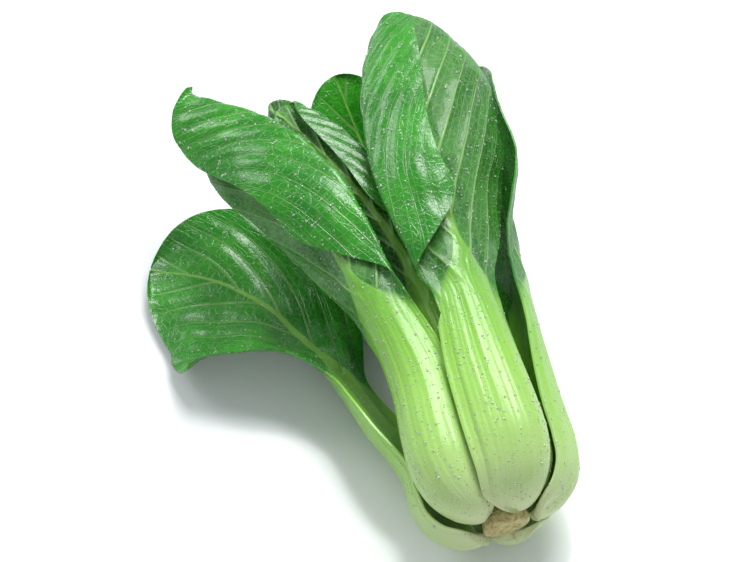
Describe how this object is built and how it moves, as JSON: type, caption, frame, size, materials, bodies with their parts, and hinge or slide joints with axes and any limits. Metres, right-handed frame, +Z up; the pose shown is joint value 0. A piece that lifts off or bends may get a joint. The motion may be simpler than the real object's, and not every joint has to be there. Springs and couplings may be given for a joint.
{
  "type": "bok choy",
  "caption": "Small Shanghai bok choy lying on its side: swollen pale stalks from a cut root end, green spoon-shaped blades, two folded over.",
  "frame": {"origin": "on the table, under the middle of the bunch's bounding box", "axes": "+Z up from the table, +Y along the bunch from the cut root end to the leaf tips, +X to the right seen from the root end"},
  "size_m": [0.1176, 0.168, 0.0698],
  "materials": {
    "outer_leaf": "wet leaf, glossy on its upper side, pale stalk",
    "middle_leaf": "wet leaf, darker green",
    "heart": "young pale leaf",
    "stem": "cut stem, yellow-brown and dry",
    "water": "clear drops of rinsing water"
  },
  "bodies": {
    "root": {"outer_leaf_upper_right": "outer_leaf", "outer_leaf_upper_left": "outer_leaf", "outer_leaf_left": "outer_leaf", "outer_leaf_under": "outer_leaf", "outer_leaf_right": "outer_leaf", "middle_leaf_top": "middle_leaf", "middle_leaf_left": "middle_leaf", "middle_leaf_low_left": "middle_leaf", "middle_leaf_low_right": "middle_leaf", "middle_leaf_right": "middle_leaf", "heart_leaf_top": "heart", "heart_leaf_right": "heart", "heart_leaf_left": "heart", "heart_bud": "heart", "stem_base": "stem"}
  },
  "joints": []
}
